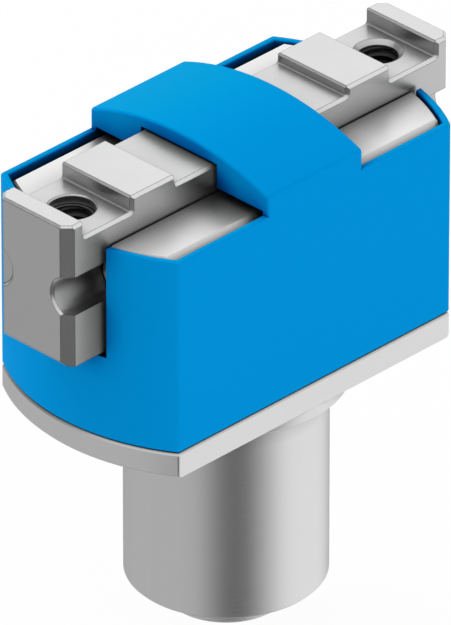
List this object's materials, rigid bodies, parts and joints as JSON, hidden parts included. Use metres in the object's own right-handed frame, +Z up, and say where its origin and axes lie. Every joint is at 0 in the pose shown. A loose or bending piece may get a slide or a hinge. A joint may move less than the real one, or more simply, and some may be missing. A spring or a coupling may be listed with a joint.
{
  "type": "pneumatic parallel gripper",
  "caption": "Small air-driven parallel gripper: stepped jaws sliding in a round-ended body with a plastic cover, mounting plate and clamping spigot.",
  "frame": {"origin": "on the cylinder's axis, in the shoulder plane where the clamping spigot meets the boss", "axes": "+Z up the cylinder's axis towards the jaws, +X along the jaws' travel, +Y across the body"},
  "size_m": [0.0392, 0.018, 0.0407],
  "materials": {
    "satin_aluminium": "satin, fine turned",
    "fine_steel": "fine ground satin",
    "ground_steel": "ground and hardened",
    "spring_steel": "drawn wire",
    "dark_steel": "black oxide",
    "bronze": "sintered bronze",
    "blue_plastic": "moulded, satin",
    "dark_plastic": "filled plastic",
    "black_rubber": "moulded rubber"
  },
  "bodies": {
    "root": {"housing": "satin_aluminium", "guide_block": "fine_steel", "cover": "blue_plastic", "end_cap": "satin_aluminium", "end_cap_seal": "black_rubber", "retaining_ring": "dark_steel", "rod_bush": "bronze", "return_spring": "spring_steel", "piston_buffer": "black_rubber", "rear_guide_rod": "ground_steel", "front_guide_rod": "ground_steel", "block_screws": "dark_steel", "locating_pins": "ground_steel"},
    "piston_unit": {"piston": "satin_aluminium", "piston_seal": "black_rubber", "piston_band": "dark_plastic", "piston_rod": "ground_steel", "piston_screw": "dark_steel", "wedge": "fine_steel"},
    "left_slide": {"left_jaw": "fine_steel", "left_drive_pin": "ground_steel", "left_roller": "ground_steel"},
    "right_slide": {"right_jaw": "fine_steel", "right_drive_pin": "ground_steel", "right_roller": "ground_steel"}
  },
  "joints": [
    {"name": "piston_stroke", "type": "slide", "parent": "root", "child": "piston_unit", "axis": [0, 0, 1], "range_m": [0, 0.004], "stiffness_N_per_m": 500, "springref_m": -0.003, "deforming": ["return_spring"]},
    {"name": "left_jaw_slide", "type": "slide", "parent": "root", "child": "left_slide", "axis": [1, 0, 0], "range_m": [0, 0.003]},
    {"name": "right_jaw_slide", "type": "slide", "parent": "root", "child": "right_slide", "axis": [-1, 0, 0], "range_m": [0, 0.003]}
  ],
  "couplings": [
    {"joint": "left_jaw_slide", "follows": "piston_stroke", "ratio": 0.75},
    {"joint": "right_jaw_slide", "follows": "piston_stroke", "ratio": 0.75}
  ]
}
